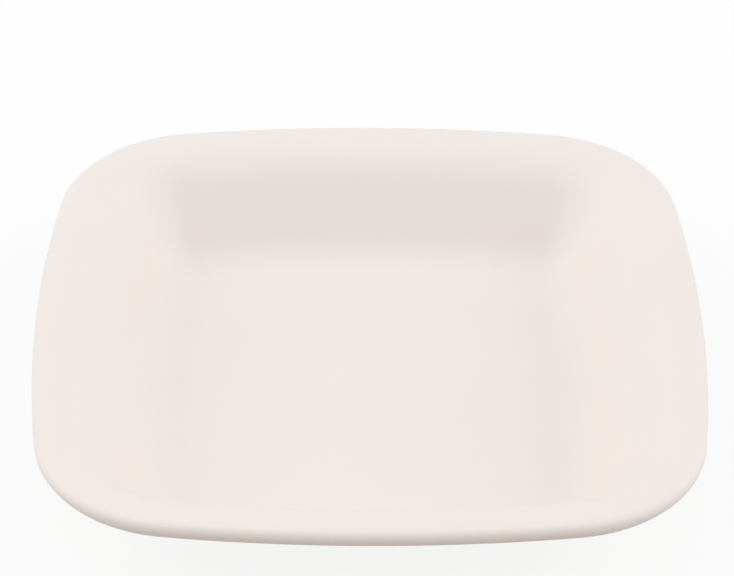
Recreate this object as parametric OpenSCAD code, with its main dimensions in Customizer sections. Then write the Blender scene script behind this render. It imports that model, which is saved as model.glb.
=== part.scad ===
// Deep square plate in glazed stoneware: a fired clay body, the coat of glaze round it, and the
// patch of glaze inside its foot ring, which the bare foot parts from the coat.
// One cross-section is swept round the plan: four bowed sides about their own far centres, and four
// corners about the corners of the flat floor, so that the well closes smoothly on them.
// In a cross-section x runs outward from the edge of the flat floor and y is the height.

/* [Plan] */
// Width across two opposite sides, from lip to lip
plate_w = 210; // [190:1:250]
// How far the middle of each side bows out beyond the corners
side_bow = 3.5; // [2:0.1:6]
// Radius of the lip's corners, and so how far the wall runs in to the floor
corner_r = 45.5; // [42:0.5:54]

/* [Well] */
// Depth of the well, from the crest of the lip down to the floor
well_depth = 29; // [25:0.5:33]
// Steepest slope of the wall, in degrees
wall_slope = 51; // [47:0.5:57]
// Radius of the hollow between the floor and the wall
floor_hollow_r = 17; // [12:0.5:20]

/* [Shell] */
// Thickness of the floor and the wall, glaze included
wall_t = 4.25; // [3.5:0.25:4.75]
// Thickness of the rolled lip, glaze included
lip_t = 5.25; // [5:0.25:7]
// Radius of the hollow behind the lip, under the wall
lip_hollow_r = 4; // [2.5:0.5:6]

/* [Foot] */
// Height of the foot ring, from the ground to the underside of the floor
foot_h = 3.5; // [3:0.25:5]
// Width of the foot ring, glaze included
foot_w = 5; // [4:0.25:5.5]
// How far the foot ring reaches out from the edge of the flat floor
foot_reach = 7.5; // [7.5:0.5:12]
// Radius of the hollows along both flanks of the foot ring
foot_hollow_r = 1.75; // [1:0.25:2]
// Radius of the two edges that the foot ring stands on
foot_edge_r = 0.6; // [0.4:0.1:0.9]

/* [Glaze] */
// Thickness of the glaze
glaze_t = 0.4; // [0.2:0.05:0.6]
// Height above the ground at which the glaze stops and leaves the foot bare
glaze_line = 1.3; // [1:0.1:2]

/* [Hidden] */
// Facets of a full turn: of the section's arcs and the corners, and of the wide side arcs
$fn = 96;
side_fn = 720;
// Curves that meet in line sink into each other by this much, so that they cross
sink = 0.001;
// Margin of the shapes that cut others, past what they cut
margin = 5;

// Plan: centre of a corner, the arm to it from the centre of a side's bow, and its direction
floor_half = plate_w / 2 - corner_r;
corner_at = floor_half - side_bow;
side_arm = (side_bow ^ 2 + corner_at ^ 2) / (2 * side_bow);
seam_turn = asin(corner_at / side_arm);
// Length of the floor in a cross-section that runs in past its middle
floor_run = floor_half + margin;

// Heights of the floor and of the lip's crest
floor_z = foot_h + wall_t;
crest_z = floor_z + well_depth;

// Wall: a hollow, a straight stretch and a shoulder, whose radii follow from its run and rise
lip_r = lip_t / 2;
wall_run = corner_r - lip_r;
bends_r = (wall_run * sin(wall_slope) - well_depth * cos(wall_slope)) / (1 - cos(wall_slope));
shoulder_r = bends_r - floor_hollow_r;
hollow_at = [0, floor_z + floor_hollow_r];
shoulder_at = [wall_run, crest_z - shoulder_r];
lip_at = [wall_run, crest_z - lip_r];

// Hollow behind the lip, which touches the lip and the underside of the shoulder
lip_drop = shoulder_r - lip_r;
lip_hollow_arm = shoulder_r - wall_t - lip_hollow_r;
lip_hollow_turn = acos((lip_drop ^ 2 + lip_hollow_arm ^ 2 - (lip_r + lip_hollow_r) ^ 2)
    / (2 * lip_drop * lip_hollow_arm));

// Foot ring: its inner flank, its middle, and the arm from the floor's hollow to those of its flanks
foot_inner = foot_reach - foot_w;
foot_mid = foot_reach - foot_w / 2;
foot_hollow_arm = floor_hollow_r + wall_t + foot_hollow_r;

clay_colour = "#d8cbbb";
glaze_colour = "#f0e8e2";

// Point at a distance and an angle from a centre
function polar(centre, r, angle) = centre + r * [cos(angle), sin(angle)];

// Field between two directions from a centre
module wedge(centre, from, to, reach) {
    polygon([centre, polar(centre, reach, from), polar(centre, reach, (from + to) / 2),
        polar(centre, reach, to)]);
}

// Everything under the line that runs a given depth below the plate's upper face
module under_face(depth, inward, spill) {
    hollow_r = floor_hollow_r + depth;
    bend_r = shoulder_r - depth;
    base_y = floor_z - depth;
    top_y = crest_z - depth - sink;
    slope_at = polar(hollow_at, hollow_r, wall_slope - 90);
    toe = slope_at + (base_y - slope_at.y) * [1 / tan(wall_slope), 1];
    brow = slope_at + (top_y - slope_at.y) * [1 / tan(wall_slope), 1];
    difference() {
        union() {
            polygon([[-inward - spill, -spill], [wall_run + spill, -spill],
                [wall_run + spill, top_y], brow, toe, [-inward - spill, base_y]]);
            difference() {
                wedge(hollow_at, -90, wall_slope - 90, hollow_r + wall_t);
                translate(hollow_at) circle(hollow_r + sink);
            }
        }
        difference() {
            wedge(shoulder_at, 90, 90 + wall_slope, shoulder_r + margin);
            translate(shoulder_at) circle(bend_r + sink);
        }
    }
}

// Floor and wall with a skin taken off both faces; the floor runs inward by the given length
module floor_and_wall(skin, inward) {
    difference() {
        under_face(skin, inward, 0);
        under_face(wall_t - skin, inward, margin);
    }
}

// Rolled lip, and the hollow that blends it into the underside of the wall
module lip(skin) {
    hollow = polar(shoulder_at, lip_hollow_arm, 90 + lip_hollow_turn);
    root = polar(shoulder_at, shoulder_r - wall_t / 2, 90 + lip_hollow_turn);
    translate(lip_at) circle(lip_r - skin);
    difference() {
        polygon([lip_at, root, hollow]);
        translate(hollow) circle(lip_hollow_r + skin + 2 * sink);
    }
}

// Hollow along one flank of the foot ring, whose centre lies at x
module foot_hollow(x, skin) {
    arm = [x, -sqrt(foot_hollow_arm ^ 2 - x ^ 2)];
    centre = hollow_at + arm;
    root = hollow_at + arm * (floor_hollow_r + wall_t / 2) / foot_hollow_arm;
    loop = [centre, [foot_mid, centre.y], [foot_mid, floor_z - skin], root];
    difference() {
        polygon(x < foot_mid ? loop : [for (i = [3:-1:0]) loop[i]]);
        translate(centre) circle(foot_hollow_r + skin + sink);
    }
}

// Foot ring with a skin taken off its flanks, and the hollows that blend it into the body
module foot(skin) {
    inner = foot_inner + skin;
    outer = foot_reach - skin;
    translate([inner, foot_edge_r]) square([outer - inner, floor_z - skin - foot_edge_r]);
    translate([inner + foot_edge_r, 0]) square([outer - inner - 2 * foot_edge_r, foot_h]);
    for (x = [inner + foot_edge_r, outer - foot_edge_r])
        translate([x, foot_edge_r]) circle(foot_edge_r);
    for (x = [foot_inner - foot_hollow_r, foot_reach + foot_hollow_r])
        foot_hollow(x, skin);
}

// Cross-section of the whole ware, with a skin taken off all over but under the foot
module ware_section(skin, inward) {
    floor_and_wall(skin, inward);
    lip(skin);
    foot(skin);
}

// Skin of glaze in a cross-section, which stops above the bare foot
module glaze_section(inward) {
    difference() {
        ware_section(0, inward);
        ware_section(glaze_t, inward);
        translate([-inward - margin, -margin])
            square([inward + corner_r + 2 * margin, margin + glaze_line]);
    }
}

// Field of a cross-section under the floor and inside the middle of the foot ring
module base_field(inward) {
    translate([-inward - margin, 0]) square([inward + margin + foot_mid, floor_z - wall_t / 2]);
}

// Prism over the eighth of the plan between the middle of a side and the middle of a corner
module eighth_prism() {
    translate([0, 0, -margin]) linear_extrude(crest_z + 2 * margin)
        polygon([[0, 0], [plate_w, 0], [plate_w, plate_w]]);
}

// Eighth of a sweep: half a bowed side and half a corner, which start from one face at their seam
module plan_eighth() {
    intersection() {
        translate([corner_at, corner_at]) rotate(seam_turn) {
            translate([-side_arm, 0])
                rotate_extrude(angle = 2 * seam_turn, start = -2 * seam_turn, $fn = side_fn)
                    translate([side_arm, 0]) children(0);
            rotate_extrude(angle = 45) children(1);
        }
        eighth_prism();
    }
}

// Sweep round the plan of a cross-section with all its floor, and of the same one without
module round_plan() {
    for (turn = [0:90:270], flip = [0, 1]) rotate(turn) mirror([0, flip, 0]) plan_eighth() {
        children(0);
        children(1);
    }
}

// Fired clay: floor, wall, rolled lip and foot ring in one
module clay_body() {
    color(clay_colour) round_plan() {
        ware_section(glaze_t, floor_run);
        ware_section(glaze_t, 0);
    }
}

// Glaze over the face, the lip and the back, down the outer flank of the foot
module glaze_coat() {
    color(glaze_colour) round_plan() {
        difference() {
            glaze_section(floor_run);
            base_field(floor_run);
        }
        difference() {
            glaze_section(0);
            base_field(0);
        }
    }
}

// Glaze over the underside of the floor, down the inner flank of the foot
module base_glaze() {
    color(glaze_colour) round_plan() {
        intersection() {
            glaze_section(floor_run);
            base_field(floor_run);
        }
        intersection() {
            glaze_section(0);
            base_field(0);
        }
    }
}

clay_body();
glaze_coat();
base_glaze();
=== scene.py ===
"""Deep square plate in ivory-glazed stoneware, dressed for a plain studio picture.

The three pieces follow one rule: a cross-section is swept round a plan of four bowed sides and four
round corners. In a cross-section x runs outward from the edge of the flat floor and y is the height.
"""

import math

import bmesh
import bpy
from bpy.props import FloatProperty, FloatVectorProperty, IntProperty, PointerProperty
from mathutils import Matrix, Vector


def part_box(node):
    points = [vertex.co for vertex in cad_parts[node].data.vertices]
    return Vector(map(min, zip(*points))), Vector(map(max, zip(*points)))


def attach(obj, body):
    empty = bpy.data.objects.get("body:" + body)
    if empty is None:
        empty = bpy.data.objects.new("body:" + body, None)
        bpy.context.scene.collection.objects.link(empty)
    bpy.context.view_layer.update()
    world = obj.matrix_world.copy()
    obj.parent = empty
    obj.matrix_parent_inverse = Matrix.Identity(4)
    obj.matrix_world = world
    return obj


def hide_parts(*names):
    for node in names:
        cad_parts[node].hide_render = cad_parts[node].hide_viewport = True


bl_info = {
    "name": "Deep Plate",
    "version": (1, 0, 0),
    "blender": (4, 5, 0),
    "location": "View3D > Sidebar > Plate",
    "description": "Dresses a square deep plate: clay body, glaze coat, base glaze and a studio",
    "category": "Object",
}

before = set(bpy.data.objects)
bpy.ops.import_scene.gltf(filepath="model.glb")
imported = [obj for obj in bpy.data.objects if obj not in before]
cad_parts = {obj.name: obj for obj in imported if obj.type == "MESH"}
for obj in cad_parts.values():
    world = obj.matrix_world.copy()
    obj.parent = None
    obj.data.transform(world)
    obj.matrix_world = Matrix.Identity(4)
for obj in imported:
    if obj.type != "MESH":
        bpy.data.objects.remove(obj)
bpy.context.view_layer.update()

BODY = "root"
MM = 0.001

# Frame of the picture, in pixels, and the width of the camera's sensor, in millimetres
PICTURE_W = 734
PICTURE_H = 576
SENSOR_W = 36.0

# Most that a dressed piece's box may differ from the box of the solid it stands for, in metres
BOX_SLACK = 0.3 * MM
# Points closer than this are one point, in metres
WELD = 0.002 * MM

# Names that are looked up again, unlike any that the frame holds
SWEEP_NAME = "sweep_round_plan"
GLAZE_NAME = "satin_ivory_glaze"

# Quarters of the plan, each a bowed side and a corner
QUARTERS = 4
# Steps of a cross-section: how much longer on the flat floor, and how much shorter on small arcs
FLAT_STEP = 4
FINE_STEP = 1 / 2
# Steps to a radius along the edges of the foot, and along the rounded edge of the glaze
FOOT_EDGE_STEPS = 8
BEAD_STEPS = 3

# Mean value of a noise
NOISE_MIDDLE = 0.5
# Glaze: the share that is thin everywhere, and how far clouds, mottling and the crest add to it
THIN_SHARE = 0.15
CLOUD_THINS = 0.5
MOTTLE_THINS = 0.3
CREST_THINS = 0.12
# Glaze: how far clouds and mottling change its roughness
CLOUD_ROUGHENS = 0.12
MOTTLE_ROUGHENS = 0.10
# Glaze: how many times finer the fine ripples are, and their depth as a share of the wide ones
FINE_RIPPLES = 7.0
FINE_RIPPLE_DEPTH = 0.12
# Clay: noise from which a grain begins to darken and is dark, and how far grains and patches darken
GRAIN_BEGINS = 0.52
GRAIN_IS_DARK = 0.72
GRAIN_DARKENS = 0.7
PATCH_DARKENS = 0.3
# Clay: width of a patch, in grains, and how far grains change the roughness
PATCH_GRAINS = 40.0
GRAIN_ROUGHENS = 0.15

# Specks: least radius and its spread, as shares of their gap, and the share of places left bare
SPECK_LEAST = 0.02
SPECK_SPREAD = 0.05
SPECK_RARITY = 0.8

# Soft boxes: width and distance, in metres
LAMP_W = 1.8
LAMP_DISTANCE = 1.6
# Each lamp's name, azimuth and elevation in degrees as for the camera, and power in watts
STUDIO_LAMPS = (
    ("right_box", 90.0, 30.0, 14.3),
    ("left_box", 270.0, 30.0, 12.2),
    ("far_left_box", 225.0, 60.0, 4.6),
)


def length(label, description, default_mm):
    """A size that a user may change, given in millimetres and held in metres."""
    return FloatProperty(name=label, description=description, default=default_mm * MM,
                         min=0.0, precision=5, unit="LENGTH", subtype="DISTANCE")


def turn(label, description, default_degrees):
    """An angle that a user may change, given in degrees and held in radians."""
    return FloatProperty(name=label, description=description,
                         default=math.radians(default_degrees), unit="ROTATION", subtype="ANGLE")


def share(label, description, default):
    """A share from 0 to 1 that a user may change."""
    return FloatProperty(name=label, description=description, default=default,
                         min=0.0, max=1.0, subtype="FACTOR")


def tint(label, description, default):
    """A linear colour that a user may change."""
    return FloatVectorProperty(name=label, description=description, default=default, size=3,
                               min=0.0, max=1.0, subtype="COLOR")


class PlateSizes(bpy.types.PropertyGroup):
    """Sizes of the ware, which all three pieces share."""

    width: length("Width", "Width across two opposite sides, from lip to lip", 210.0)
    side_bow: length("Side bow", "How far the middle of a side bows out beyond the corners", 3.5)
    corner_radius: length("Corner radius", "Radius of the lip's corners", 45.5)
    well_depth: length("Well depth", "From the crest of the lip down to the floor", 29.0)
    wall_slope: turn("Wall slope", "Steepest slope of the wall", 51.0)
    floor_hollow: length("Floor hollow", "Radius of the hollow between floor and wall", 17.0)
    wall_thickness: length("Wall", "Thickness of the floor and the wall, glaze included", 4.25)
    lip_thickness: length("Lip", "Thickness of the rolled lip, glaze included", 5.25)
    lip_hollow: length("Lip hollow", "Radius of the hollow behind the lip", 4.0)
    foot_height: length("Foot height", "From the ground to the underside of the floor", 3.5)
    foot_width: length("Foot width", "Width of the foot ring, glaze included", 5.0)
    foot_reach: length("Foot reach", "How far the foot reaches out from the floor's edge", 7.5)
    foot_hollow: length("Foot hollow", "Radius of the hollows along the foot's flanks", 1.75)
    foot_edge: length("Foot edge", "Radius of the edges that the foot stands on", 0.6)
    glaze: length("Glaze", "Thickness of the glaze", 0.4)
    glaze_line: length("Glaze line", "Height at which the glaze stops above the bare foot", 1.3)


class SweepSettings(bpy.types.PropertyGroup):
    """How finely the pieces are swept, and how far a hand-finished face strays from true."""

    side_steps: IntProperty(name="Side steps", description="Steps along a bowed side",
                            default=20, min=4)
    corner_steps: IntProperty(name="Corner steps", description="Steps round a corner",
                              default=32, min=4)
    point_gap: length("Point gap", "Longest step along the shown part of a cross-section", 0.9)
    hidden_gap: length("Hidden gap", "Longest step along its hidden part", 2.4)
    unevenness: length("Unevenness", "Most that a face strays from its true place", 0.06)
    swell: length("Swell", "Distance from one swell of an uneven face to the next", 34.0)


class GlazeLook(bpy.types.PropertyGroup):
    """Finish of the ivory glaze."""

    colour: tint("Glaze", "Colour of the glaze where it lies thick", (0.880, 0.821, 0.784))
    thin_colour: tint("Thin glaze", "Colour where the glaze is thin over the clay",
                      (0.850, 0.784, 0.738))
    speck_colour: tint("Specks", "Colour of the fine specks in the glaze", (0.52, 0.42, 0.33))
    roughness: share("Roughness", "Mean roughness of the satin surface", 0.48)
    speck_strength: share("Speck strength", "How far a speck takes its own colour", 0.22)
    speck_gap: length("Speck gap", "Mean distance between the places for specks", 4.0)
    cloud_size: length("Clouds", "Width of the soft clouds in the colour", 45.0)
    mottle_size: length("Mottle", "Width of the fine mottling", 1.6)
    peel_size: length("Peel", "Width of the ripples in the surface", 5.0)
    peel_depth: length("Peel depth", "Depth of the ripples in the surface", 0.02)


class ClayLook(bpy.types.PropertyGroup):
    """Finish of the bare fired clay."""

    colour: tint("Clay", "Colour of the fired clay", (0.62, 0.52, 0.42))
    grain_colour: tint("Grain", "Colour of the darker grains in it", (0.40, 0.30, 0.22))
    roughness: share("Roughness", "Mean roughness of the bare clay", 0.86)
    grain_size: length("Grain size", "Width of a grain", 0.5)
    grain_depth: length("Grain depth", "Depth of the pits between grains", 0.05)


class StudioLook(bpy.types.PropertyGroup):
    """Floor, lights and camera of the picture."""

    floor_colour: tint("Floor", "Colour of the pale floor where it is seen", (0.96, 0.96, 0.96))
    bounce_colour: tint("Bounce", "Colour of the light that the floor throws back on the plate",
                        (0.58, 0.50, 0.45))
    floor_width: FloatProperty(name="Floor width", description="Width of the floor",
                               default=12.0, unit="LENGTH", subtype="DISTANCE")
    floor_glow: share("Floor white", "Share of plain white in the floor where it is seen", 0.85)
    sky: FloatProperty(name="Sky", description="Level of the even light from all round",
                       default=0.504, min=0.0)
    focal: FloatProperty(name="Focal length", description="Focal length, in the picture's pixels",
                         default=3377.2)
    distance: FloatProperty(name="Distance", description="From the camera to the plate's middle",
                            default=1.0640, unit="LENGTH", subtype="DISTANCE")
    elevation: turn("Elevation", "Height of the camera above the horizon", 37.874)
    azimuth: turn("Azimuth", "Turn of the camera round the plate", -0.729)
    roll: turn("Roll", "Roll of the camera", 0.574)
    middle_x: FloatProperty(name="Middle across", default=369.72,
                            description="Where the plate's middle falls across the picture, in pixels")
    middle_y: FloatProperty(name="Middle down", default=321.00,
                            description="Where the plate's middle falls down the picture, in pixels")


class DeepPlate(bpy.types.PropertyGroup):
    """All that a user may change."""

    sizes: PointerProperty(type=PlateSizes)
    sweep: PointerProperty(type=SweepSettings)
    glaze: PointerProperty(type=GlazeLook)
    clay: PointerProperty(type=ClayLook)
    studio: PointerProperty(type=StudioLook)


class Wire:
    """A node's socket that takes part in Python expressions, in shader and geometry trees alike."""

    def __init__(self, tree, socket):
        self.tree = tree
        self.socket = socket

    def node(self, kind, settings=None, sockets=None, out=0):
        """A new node of the same tree: its settings first, then its sockets; gives one output."""
        node = self.tree.nodes.new(kind)
        for key, value in (settings or {}).items():
            setattr(node, key, value)
        for key, value in (sockets or {}).items():
            place = find_socket(node.inputs, key)
            if isinstance(value, Wire):
                self.tree.links.new(value.socket, place)
            else:
                place.default_value = value
        return Wire(self.tree, find_socket(node.outputs, out))

    def math(self, operation, other=0.0):
        """This value and another one through a Math node."""
        return self.node("ShaderNodeMath", {"operation": operation}, {0: self, 1: other})

    def __add__(self, other):
        return self.math("ADD", other)

    def __sub__(self, other):
        return self.math("SUBTRACT", other)

    def __rsub__(self, other):
        return self.node("ShaderNodeMath", {"operation": "SUBTRACT"}, {0: other, 1: self})

    def __mul__(self, other):
        return self.math("MULTIPLY", other)

    def __truediv__(self, other):
        return self.math("DIVIDE", other)

    def __rtruediv__(self, other):
        return self.node("ShaderNodeMath", {"operation": "DIVIDE"}, {0: other, 1: self})

    __radd__ = __add__
    __rmul__ = __mul__


def find_socket(sockets, key):
    """A socket by its number, its identifier or its name."""
    if isinstance(key, int):
        return sockets[key]
    for socket in sockets:
        if socket.identifier == key:
            return socket
    return sockets[key]


def polar(centre, radius, angle):
    """Point at a distance and an angle from a centre."""
    return Vector((centre.x + radius * math.cos(angle), centre.y + radius * math.sin(angle)))


def angle_to(start, end):
    """Direction from one point to another."""
    return math.atan2(end.y - start.y, end.x - start.x)


def arc(centre, radius, start, end, gap):
    """Points along an arc from one angle to another, no further apart than the gap."""
    count = max(2, math.ceil(abs(end - start) * radius / gap))
    return [polar(centre, radius, start + (end - start) * i / count) for i in range(count + 1)]


def straight(start, end, gap):
    """Points along a straight line, no further apart than the gap."""
    count = max(1, math.ceil((end - start).length / gap))
    return [start.lerp(end, i / count) for i in range(count + 1)]


def joined(*runs):
    """One line of points from several runs, without the doubles where they meet."""
    points = []
    for point in (p for run in runs for p in run):
        if not points or (point - points[-1]).length > WELD:
            points.append(point)
    return points


class WareSection:
    """Cross-section of the plate. A skin is how deep a line runs below the glazed surface."""

    def __init__(self, sizes):
        self.sizes = sizes
        slope = sizes.wall_slope
        self.floor_half = sizes.width / 2 - sizes.corner_radius
        self.floor_z = sizes.foot_height + sizes.wall_thickness
        self.crest_z = self.floor_z + sizes.well_depth
        self.lip_r = sizes.lip_thickness / 2
        run = sizes.corner_radius - self.lip_r
        rise = sizes.well_depth
        bends = (run * math.sin(slope) - rise * math.cos(slope)) / (1 - math.cos(slope))
        self.shoulder_r = bends - sizes.floor_hollow
        self.hollow_at = Vector((0.0, self.floor_z + sizes.floor_hollow))
        self.shoulder_at = Vector((run, self.crest_z - self.shoulder_r))
        self.lip_at = Vector((run, self.crest_z - self.lip_r))
        self.steep = slope - math.pi / 2
        self.brow = slope + math.pi / 2
        self.lip_hollow_at = self.behind_lip()
        self.foot_inner = sizes.foot_reach - sizes.foot_width
        self.outer_hollow_at = self.beside_foot(sizes.foot_reach + sizes.foot_hollow)
        self.inner_hollow_at = self.beside_foot(self.foot_inner - sizes.foot_hollow)

    def behind_lip(self):
        """Centre of the hollow that touches the lip and the underside of the shoulder."""
        drop = self.shoulder_r - self.lip_r
        arm = self.shoulder_r - self.sizes.wall_thickness - self.sizes.lip_hollow
        reach = self.lip_r + self.sizes.lip_hollow
        back = math.acos((drop ** 2 + arm ** 2 - reach ** 2) / (2 * drop * arm))
        return polar(self.shoulder_at, arm, math.pi / 2 + back)

    def beside_foot(self, x):
        """Centre of the hollow along a flank of the foot, which touches the back of the floor's own."""
        arm = self.sizes.floor_hollow + self.sizes.wall_thickness + self.sizes.foot_hollow
        return Vector((x, self.hollow_at.y - math.sqrt(arm ** 2 - x ** 2)))

    def back_hollow_r(self, skin):
        """Radius of the floor's hollow on the back of the plate."""
        return self.sizes.floor_hollow + self.sizes.wall_thickness - skin

    def face(self, skin, gap):
        """Middle of the floor, wall, crest and lip, round to the hollow behind the lip."""
        hollow_r = self.sizes.floor_hollow + skin
        shoulder_r = self.shoulder_r - skin
        floor_z = self.floor_z - skin
        under_lip = angle_to(self.lip_at, self.lip_hollow_at)
        return joined(
            straight(Vector((-self.floor_half, floor_z)), Vector((0.0, floor_z)), FLAT_STEP * gap),
            arc(self.hollow_at, hollow_r, -math.pi / 2, self.steep, gap),
            straight(polar(self.hollow_at, hollow_r, self.steep),
                     polar(self.shoulder_at, shoulder_r, self.brow), gap),
            arc(self.shoulder_at, shoulder_r, self.brow, math.pi / 2, gap),
            arc(self.lip_at, self.lip_r - skin, math.pi / 2, under_lip, FINE_STEP * gap))

    def back(self, skin, gap, low):
        """Hollow behind the lip, underside of the wall, and the foot's outer flank down to a height."""
        fine = FINE_STEP * gap
        shoulder_r = self.shoulder_r - self.sizes.wall_thickness + skin
        flank_x = self.sizes.foot_reach - skin
        foot_hollow_r = self.sizes.foot_hollow + skin
        lip_turn = angle_to(self.lip_hollow_at, self.lip_at)
        brow_turn = angle_to(self.shoulder_at, self.lip_hollow_at)
        foot_turn = angle_to(self.hollow_at, self.outer_hollow_at)
        return joined(
            arc(self.lip_hollow_at, self.sizes.lip_hollow + skin, lip_turn, brow_turn, fine),
            arc(self.shoulder_at, shoulder_r, brow_turn, self.brow, gap),
            straight(polar(self.shoulder_at, shoulder_r, self.brow),
                     polar(self.hollow_at, self.back_hollow_r(skin), self.steep), gap),
            arc(self.hollow_at, self.back_hollow_r(skin), self.steep, foot_turn, gap),
            arc(self.outer_hollow_at, foot_hollow_r, foot_turn + math.pi, math.pi, fine),
            straight(Vector((flank_x, self.outer_hollow_at.y)), Vector((flank_x, low)), fine))

    def base(self, skin, gap, low):
        """Inner flank of the foot from a height up, and the underside of the floor to its middle."""
        fine = FINE_STEP * gap
        flank_x = self.foot_inner + skin
        foot_turn = angle_to(self.hollow_at, self.inner_hollow_at)
        under_z = self.sizes.foot_height + skin
        return joined(
            straight(Vector((flank_x, low)), Vector((flank_x, self.inner_hollow_at.y)), fine),
            arc(self.inner_hollow_at, self.sizes.foot_hollow + skin, 0.0, foot_turn + math.pi, fine),
            arc(self.hollow_at, self.back_hollow_r(skin), foot_turn, -math.pi / 2, gap),
            straight(Vector((0.0, under_z)), Vector((-self.floor_half, under_z)), FLAT_STEP * gap))

    def clay_outline(self, gap):
        """Clay body: the whole ware under its glaze, and the bare foot."""
        skin = self.sizes.glaze
        edge = self.sizes.foot_edge
        outer = Vector((self.sizes.foot_reach - skin - edge, edge))
        inner = Vector((self.foot_inner + skin + edge, edge))
        return joined(
            self.face(skin, gap),
            self.back(skin, gap, edge),
            arc(outer, edge, 0.0, -math.pi / 2, edge / FOOT_EDGE_STEPS),
            straight(Vector((outer.x, 0.0)), Vector((inner.x, 0.0)), edge),
            arc(inner, edge, -math.pi / 2, -math.pi, edge / FOOT_EDGE_STEPS),
            self.base(skin, gap, edge))

    def bead(self, x, outward):
        """Rounded edge in which the glaze ends on a flank of the foot, from its surface to the clay."""
        half = self.sizes.glaze / 2
        centre = Vector((x - outward * half, self.bead_z()))
        start = 0.0 if outward > 0 else -math.pi
        return arc(centre, half, start, -math.pi - start, half / BEAD_STEPS)

    def bead_z(self):
        """Height at which the rounded edge of the glaze begins."""
        return self.sizes.glaze_line + self.sizes.glaze / 2

    def coat_outline(self, gap, hidden_gap):
        """Glaze coat: its surface down to the glaze line, and back along the clay."""
        low, skin = self.bead_z(), self.sizes.glaze
        clay_side = joined(self.face(skin, hidden_gap), self.back(skin, hidden_gap, low))
        return joined(
            self.face(0.0, gap),
            self.back(0.0, gap, low),
            self.bead(self.sizes.foot_reach, 1),
            reversed(clay_side))

    def base_outline(self, gap, hidden_gap):
        """Base glaze: along the clay from its middle to the glaze line, and back on its surface."""
        low, skin = self.bead_z(), self.sizes.glaze
        return joined(
            reversed(self.base(skin, hidden_gap, low)),
            reversed(self.bead(self.foot_inner, -1)),
            self.base(0.0, gap, low))


# Inputs of the tree that sweeps a cross-section round the plan: label and kind of socket
SWEEP_INPUTS = (
    ("Section", "NodeSocketGeometry"),
    ("Floor Half", "NodeSocketFloat"),
    ("Side Bow", "NodeSocketFloat"),
    ("Side Steps", "NodeSocketInt"),
    ("Corner Steps", "NodeSocketInt"),
    ("Unevenness", "NodeSocketFloat"),
    ("Swell", "NodeSocketFloat"),
    ("Finish", "NodeSocketMaterial"),
)


def plan_place(index, rows, given):
    """Corner of the floor's edge, direction outward and quarter of the plan for each station."""
    steps = given["Side Steps"] + given["Corner Steps"]
    station = (index / rows).math("FLOOR")
    quarter = (station / steps).math("FLOOR")
    local = station - quarter * steps
    corner_at = given["Floor Half"] - given["Side Bow"]
    arm = (given["Side Bow"] * given["Side Bow"] + corner_at * corner_at) / (given["Side Bow"] * 2.0)
    seam = (corner_at / arm).math("ARCSINE")
    along_side = (local / given["Side Steps"]).math("MINIMUM", 1.0)
    along_corner = ((local - given["Side Steps"]) / given["Corner Steps"]).math("MAXIMUM", 0.0)
    heading = seam * (along_side * 2.0 - 1.0) + (math.pi / 2 - seam * 2.0) * along_corner
    held = heading.math("MINIMUM", seam)
    edge_x = given["Floor Half"] + arm * (held.math("COSINE") - 1.0)
    edge_y = arm * held.math("SINE")
    return edge_x, edge_y, heading, quarter, station


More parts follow.
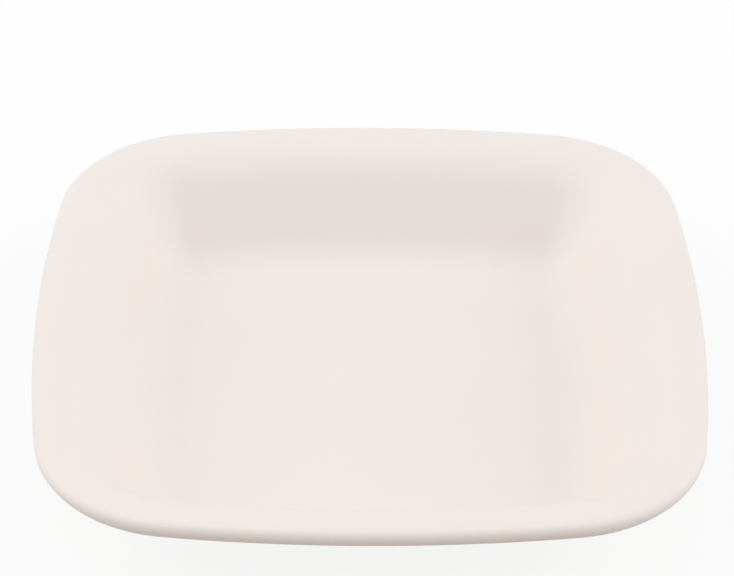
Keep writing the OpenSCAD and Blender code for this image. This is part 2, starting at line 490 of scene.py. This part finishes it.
def sweep_tree():
    """Geometry Nodes tree that sweeps the points of a cross-section round the plan of the plate."""
    tree = bpy.data.node_groups.new(SWEEP_NAME, "GeometryNodeTree")
    for label, kind in SWEEP_INPUTS:
        tree.interface.new_socket(label, in_out="INPUT", socket_type=kind)
    tree.interface.new_socket("Piece", in_out="OUTPUT", socket_type="NodeSocketGeometry")
    entry = tree.nodes.new("NodeGroupInput")
    given = {label: Wire(tree, entry.outputs[label]) for label, _ in SWEEP_INPUTS}
    section = given["Section"]

    rows = section.node("GeometryNodeAttributeDomainSize", {"component": "MESH"},
                        {"Geometry": section}, "Point Count")
    index = section.node("GeometryNodeInputIndex")
    edge_x, edge_y, heading, quarter, station = plan_place(index, rows, given)
    place = section.node("GeometryNodeInputPosition")
    point = section.node("GeometryNodeSampleIndex", {"data_type": "FLOAT_VECTOR"},
                         {"Geometry": section, "Value": place, "Index": index - station * rows})
    out = point.node("ShaderNodeSeparateXYZ", None, {0: point}, "X")
    height = point.node("ShaderNodeSeparateXYZ", None, {0: point}, "Y")

    # Inside the floor's edge a row is that edge drawn in towards the middle; outside, it is offset
    drawn = out.math("MINIMUM", 0.0) / given["Floor Half"] + 1.0
    offset = out.math("MAXIMUM", 0.0)
    spot = out.node("ShaderNodeCombineXYZ", None, {
        "X": edge_x * drawn + offset * heading.math("COSINE"),
        "Y": edge_y * drawn + offset * heading.math("SINE"),
        "Z": height})
    turned = spot.node("ShaderNodeVectorRotate", {"rotation_type": "Z_AXIS"},
                       {"Vector": spot, "Angle": quarter * (math.tau / QUARTERS)})

    steps = given["Side Steps"] + given["Corner Steps"]
    sheet = section.node("GeometryNodeMeshGrid", None,
                         {"Vertices X": steps * QUARTERS + 1.0, "Vertices Y": rows})
    swept = section.node("GeometryNodeSetPosition", None, {"Geometry": sheet, "Position": turned})
    welded = section.node("GeometryNodeMergeByDistance", None, {"Geometry": swept, "Distance": WELD})
    swells = place.node("ShaderNodeTexNoise", {"noise_dimensions": "3D"},
                        {"Vector": place, "Scale": 1.0 / given["Swell"], "Detail": 1.0})
    stray = place.node("ShaderNodeVectorMath", {"operation": "SCALE"}, {
        0: section.node("GeometryNodeInputNormal"),
        "Scale": (swells - NOISE_MIDDLE) / NOISE_MIDDLE * given["Unevenness"]})
    uneven = section.node("GeometryNodeSetPosition", None, {"Geometry": welded, "Offset": stray})
    smooth = section.node("GeometryNodeSetShadeSmooth", None, {"Geometry": uneven})
    real = section.node("GeometryNodeRealizeInstances", None, {"Geometry": smooth})
    finished = section.node("GeometryNodeSetMaterial", None,
                            {"Geometry": real, "Material": given["Finish"]})
    exit_node = tree.nodes.new("NodeGroupOutput")
    tree.links.new(finished.socket, exit_node.inputs["Piece"])
    return tree


def swept_piece(name, outline, finish, unevenness):
    """Mesh object at the origin: the points of a cross-section swept round the plan of the plate."""
    plate = bpy.context.scene.deep_plate
    line = bpy.data.meshes.new(name + "_section")
    links = [(i, i + 1) for i in range(len(outline) - 1)]
    line.from_pydata([(point.x, point.y, 0.0) for point in outline], links, [])
    piece = bpy.data.objects.new(name, line)
    bpy.context.scene.collection.objects.link(piece)
    sweep = piece.modifiers.new("sweep", "NODES")
    sweep.node_group = bpy.data.node_groups.get(SWEEP_NAME) or sweep_tree()
    given = {
        "Floor Half": WareSection(plate.sizes).floor_half,
        "Side Bow": plate.sizes.side_bow,
        "Side Steps": plate.sweep.side_steps,
        "Corner Steps": plate.sweep.corner_steps,
        "Unevenness": unevenness,
        "Swell": plate.sweep.swell,
        "Finish": finish,
    }
    for item in sweep.node_group.interface.items_tree:
        if item.in_out == "INPUT" and item.name in given:
            sweep[item.identifier] = given[item.name]
    whole = piece.evaluated_get(bpy.context.evaluated_depsgraph_get())
    mesh = bpy.data.meshes.new_from_object(whole)
    piece.modifiers.remove(sweep)
    mesh.name = name
    mesh.materials.clear()
    mesh.materials.append(finish)
    piece.data = mesh
    bpy.data.meshes.remove(line)
    face_outward(mesh)
    return piece


def face_outward(mesh):
    """Turns the faces of a closed mesh outward."""
    shape = bmesh.new()
    shape.from_mesh(mesh)
    bmesh.ops.recalc_face_normals(shape, faces=shape.faces)
    open_edges = [edge for edge in shape.edges if not edge.is_manifold]
    shape.to_mesh(mesh)
    shape.free()
    if open_edges:
        raise RuntimeError(f"{mesh.name} isn't closed: {len(open_edges)} open edges")


def stand_for(piece, node):
    """Lets a piece stand for a solid of the frame, once it is sure to lie where the solid does."""
    low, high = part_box(node)
    corners = [piece.matrix_world @ Vector(corner) for corner in piece.bound_box]
    for axis in range(3):
        gap_low = min(corner[axis] for corner in corners) - low[axis]
        gap_high = max(corner[axis] for corner in corners) - high[axis]
        if max(abs(gap_low), abs(gap_high)) > BOX_SLACK:
            raise RuntimeError(f"{piece.name} strays from {node} by {gap_low:.5f}, {gap_high:.5f} m")
    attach(piece, BODY)
    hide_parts(node)


def new_finish(name):
    """Material with its shader, and a wire from the object's own coordinates."""
    material = bpy.data.materials.new(name)
    material.use_nodes = True
    tree = material.node_tree
    coordinates = tree.nodes.new("ShaderNodeTexCoord")
    return material, tree.nodes["Principled BSDF"], Wire(tree, coordinates.outputs["Object"])


def noise(place, size, detail):
    """Noise whose swells are about a given size apart."""
    return place.node("ShaderNodeTexNoise", {"noise_dimensions": "3D"},
                      {"Vector": place, "Scale": 1.0 / size, "Detail": detail})


def blend(factor, first, second):
    """Colour that goes from one to another with a factor; either may be a wire."""
    paints = [c if isinstance(c, Wire) else (*c, 1.0) for c in (first, second)]
    return factor.node("ShaderNodeMix", {"data_type": "RGBA"},
                       {"Factor_Float": factor, "A_Color": paints[0], "B_Color": paints[1]},
                       "Result_Color")


def ramp(value, low, high):
    """Smooth step from 0 at one value to 1 at another."""
    return value.node("ShaderNodeMapRange", {"interpolation_type": "SMOOTHSTEP"},
                      {"Value": value, "From Min": low, "From Max": high})


def feed(shader, name, wire):
    """Links a wire to a socket of the shader."""
    wire.tree.links.new(wire.socket, shader.inputs[name])


def specks(place, gap):
    """Mask of small round specks, at some of the places that lie about a gap apart."""
    cells = {"Vector": place, "Scale": 1.0 / gap}
    distance = place.node("ShaderNodeTexVoronoi", None, cells, "Distance")
    dice = place.node("ShaderNodeTexVoronoi", None, cells, "Color")
    draw = dice.node("ShaderNodeSeparateColor", None, {0: dice}, "Red")
    width = draw.node("ShaderNodeSeparateColor", None, {0: dice}, "Green") * SPECK_SPREAD + SPECK_LEAST
    return (1.0 - ramp(distance, 0.0, width)) * draw.math("GREATER_THAN", SPECK_RARITY)


def glaze_finish():
    """Ivory satin glaze: soft clouds, fine mottling, a few specks, thin on the crest, rippled."""
    found = bpy.data.materials.get(GLAZE_NAME)
    if found:
        return found
    plate = bpy.context.scene.deep_plate
    look, section = plate.glaze, WareSection(plate.sizes)
    material, shader, place = new_finish(GLAZE_NAME)
    cloud = noise(place, look.cloud_size, detail=2.0)
    mottle = noise(place, look.mottle_size, detail=2.0)
    cloudy, mottled = cloud - NOISE_MIDDLE, mottle - NOISE_MIDDLE
    height = place.node("ShaderNodeSeparateXYZ", None, {0: place}, "Z")
    crest = ramp(height, section.lip_at.y, section.crest_z)
    thin = cloudy * CLOUD_THINS + mottled * MOTTLE_THINS + crest * CREST_THINS + THIN_SHARE
    colour = blend(thin.math("MAXIMUM", 0.0), look.colour, look.thin_colour)
    marks = specks(place, look.speck_gap)
    feed(shader, "Base Color", blend(marks * look.speck_strength, colour, look.speck_colour))
    feed(shader, "Roughness", cloudy * CLOUD_ROUGHENS + mottled * MOTTLE_ROUGHENS + look.roughness)
    fine_ripple = noise(place, look.peel_size / FINE_RIPPLES, detail=2.0)
    ripple = noise(place, look.peel_size, detail=1.0) + fine_ripple * FINE_RIPPLE_DEPTH
    bump = ripple.node("ShaderNodeBump", None,
                       {"Strength": 1.0, "Distance": look.peel_depth, "Height": ripple})
    feed(shader, "Normal", bump)
    return material


def clay_finish():
    """Bare fired clay: matt buff with darker grains and fine pits."""
    look = bpy.context.scene.deep_plate.clay
    material, shader, place = new_finish("bare_clay")
    grain = noise(place, look.grain_size, detail=3.0)
    patch = noise(place, look.grain_size * PATCH_GRAINS, detail=2.0)
    dark = ramp(grain, GRAIN_BEGINS, GRAIN_IS_DARK) * GRAIN_DARKENS + (patch - NOISE_MIDDLE) * PATCH_DARKENS
    feed(shader, "Base Color", blend(dark.math("MAXIMUM", 0.0), look.colour, look.grain_colour))
    feed(shader, "Roughness", (grain - NOISE_MIDDLE) * GRAIN_ROUGHENS + look.roughness)
    bump = grain.node("ShaderNodeBump", None,
                      {"Strength": 1.0, "Distance": look.grain_depth, "Height": grain})
    feed(shader, "Normal", bump)
    return material


def seen_directly(tree):
    """1 for rays from the camera, and for those by way of a mirror or through glass."""
    path = tree.nodes.new("ShaderNodeLightPath")
    rays = [Wire(tree, path.outputs[f"Is {kind} Ray"]) for kind in ("Camera", "Glossy", "Transmission")]
    return (rays[0] + rays[1] + rays[2]).math("MINIMUM", 1.0)


def floor_finish(look):
    """Pale matt floor, which takes shadows; where it is seen it holds a share of plain white."""
    material = bpy.data.materials.new("studio_floor")
    material.use_nodes = True
    tree = material.node_tree
    tree.nodes.remove(tree.nodes["Principled BSDF"])
    white = seen_directly(tree)
    colour = blend(white, look.bounce_colour, look.floor_colour)
    matt = white.node("ShaderNodeBsdfDiffuse", None, {"Color": colour})
    glow = white.node("ShaderNodeEmission", None, {"Color": (1.0, 1.0, 1.0, 1.0), "Strength": 1.0})
    both = white.node("ShaderNodeMixShader", None, {0: white * look.floor_glow, 1: matt, 2: glow})
    feed(tree.nodes["Material Output"], "Surface", both)
    return material


def even_sky(look):
    """World of even light, which is white where it is seen."""
    world = bpy.data.worlds.new("studio_sky")
    world.use_nodes = True
    tree = world.node_tree
    background = tree.nodes["Background"]
    background.inputs["Color"].default_value = (1.0, 1.0, 1.0, 1.0)
    feed(background, "Strength", seen_directly(tree) * (1.0 - look.sky) + look.sky)
    bpy.context.scene.world = world


def softbox(name, azimuth, elevation, power, middle):
    """Square area lamp on a dome round the plate, which faces its middle."""
    azimuth, elevation = math.radians(azimuth), math.radians(elevation)
    back = Vector((math.sin(azimuth) * math.cos(elevation),
                   -math.cos(azimuth) * math.cos(elevation), math.sin(elevation)))
    lamp = bpy.data.lights.new(name, "AREA")
    lamp.shape = "SQUARE"
    lamp.size = LAMP_W
    lamp.energy = power
    holder = bpy.data.objects.new(name, lamp)
    turn_to = back.to_track_quat("Z", "Y").to_matrix().to_4x4()
    holder.matrix_world = Matrix.Translation(middle + back * LAMP_DISTANCE) @ turn_to
    bpy.context.scene.collection.objects.link(holder)


def picture_camera(look, middle):
    """Camera at the picture's angle, with the plate's middle at its place in the picture."""
    across = math.atan((look.middle_x - PICTURE_W / 2) / look.focal)
    down = math.atan((look.middle_y - PICTURE_H / 2) / look.focal * math.cos(across))
    sin_a, cos_a = math.sin(look.azimuth), math.cos(look.azimuth)
    back = Vector((sin_a * math.cos(look.elevation), -cos_a * math.cos(look.elevation),
                   math.sin(look.elevation)))
    right = Vector((cos_a, sin_a, 0.0))
    turned = (Matrix((right, back.cross(right), back)).transposed()
              @ Matrix.Rotation(across, 3, "Y") @ Matrix.Rotation(down, 3, "X")
              @ Matrix.Rotation(look.roll, 3, "Z"))
    data = bpy.data.cameras.new("picture_camera")
    data.sensor_width = SENSOR_W
    data.lens = look.focal * SENSOR_W / PICTURE_W
    camera = bpy.data.objects.new("picture_camera", data)
    camera.matrix_world = Matrix.Translation(middle + back * look.distance) @ turned.to_4x4()
    bpy.context.scene.collection.objects.link(camera)
    bpy.context.scene.camera = camera


class PLATE_OT_clay_body(bpy.types.Operator):
    """Fired clay of floor, wall, lip and foot ring in one, bare only under the foot"""

    bl_idname = "plate.clay_body"
    bl_label = "Clay body"

    def execute(self, context):
        plate = context.scene.deep_plate
        outline = WareSection(plate.sizes).clay_outline(plate.sweep.hidden_gap)
        piece = swept_piece("fired_clay_body", outline, clay_finish(), 0.0)
        stand_for(piece, "clay_body")
        return {"FINISHED"}


class PLATE_OT_glaze_coat(bpy.types.Operator):
    """Glaze over the face, the lip and the back, down the outer flank of the foot"""

    bl_idname = "plate.glaze_coat"
    bl_label = "Glaze coat"

    def execute(self, context):
        plate = context.scene.deep_plate
        outline = WareSection(plate.sizes).coat_outline(plate.sweep.point_gap, plate.sweep.hidden_gap)
        piece = swept_piece("ivory_glaze_coat", outline, glaze_finish(), plate.sweep.unevenness)
        stand_for(piece, "glaze_coat")
        return {"FINISHED"}


class PLATE_OT_base_glaze(bpy.types.Operator):
    """Glaze over the underside of the floor, down the inner flank of the foot"""

    bl_idname = "plate.base_glaze"
    bl_label = "Base glaze"

    def execute(self, context):
        plate = context.scene.deep_plate
        outline = WareSection(plate.sizes).base_outline(plate.sweep.point_gap, plate.sweep.hidden_gap)
        piece = swept_piece("ivory_base_glaze", outline, glaze_finish(), plate.sweep.unevenness)
        stand_for(piece, "base_glaze")
        return {"FINISHED"}


class PLATE_OT_studio(bpy.types.Operator):
    """Pale floor, soft lights and the camera of the picture"""

    bl_idname = "plate.studio"
    bl_label = "Studio"

    def execute(self, context):
        plate = context.scene.deep_plate
        look = plate.studio
        middle = Vector((0.0, 0.0, WareSection(plate.sizes).lip_at.y))
        half = look.floor_width / 2
        mesh = bpy.data.meshes.new("studio_floor")
        mesh.from_pydata([(-half, -half, 0), (half, -half, 0), (half, half, 0), (-half, half, 0)],
                         [], [(0, 1, 2, 3)])
        mesh.materials.append(floor_finish(look))
        floor = bpy.data.objects.new("studio_floor", mesh)
        context.scene.collection.objects.link(floor)
        even_sky(look)
        for name, azimuth, elevation, power in STUDIO_LAMPS:
            softbox(name, azimuth, elevation, power, middle)
        picture_camera(look, middle)
        context.scene.view_settings.view_transform = "Standard"
        return {"FINISHED"}


class PLATE_PT_sidebar(bpy.types.Panel):
    """Lists the plate's pieces and the values that a user may change"""

    bl_idname = "PLATE_PT_sidebar"
    bl_label = "Deep plate"
    bl_space_type = "VIEW_3D"
    bl_region_type = "UI"
    bl_category = "Plate"

    def draw(self, context):
        plate = context.scene.deep_plate
        for operator in OPERATORS:
            self.layout.operator(operator.bl_idname)
        for group in (plate.sizes, plate.sweep, plate.glaze, plate.clay, plate.studio):
            box = self.layout.box()
            for name in group.bl_rna.properties.keys():
                if name not in ("rna_type", "name"):
                    box.prop(group, name)


GROUPS = (PlateSizes, SweepSettings, GlazeLook, ClayLook, StudioLook, DeepPlate)
OPERATORS = (PLATE_OT_clay_body, PLATE_OT_glaze_coat, PLATE_OT_base_glaze, PLATE_OT_studio)
CLASSES = GROUPS + OPERATORS + (PLATE_PT_sidebar,)


def register():
    """Registers the classes and gives the scene its values."""
    for item in CLASSES:
        bpy.utils.register_class(item)
    bpy.types.Scene.deep_plate = PointerProperty(type=DeepPlate)


def unregister():
    """Undoes register."""
    del bpy.types.Scene.deep_plate
    for item in reversed(CLASSES):
        bpy.utils.unregister_class(item)


def main():
    """Builds every piece and the studio."""
    register()
    bpy.ops.plate.clay_body()
    bpy.ops.plate.glaze_coat()
    bpy.ops.plate.base_glaze()
    bpy.ops.plate.studio()


if __name__ == "__main__":
    main()
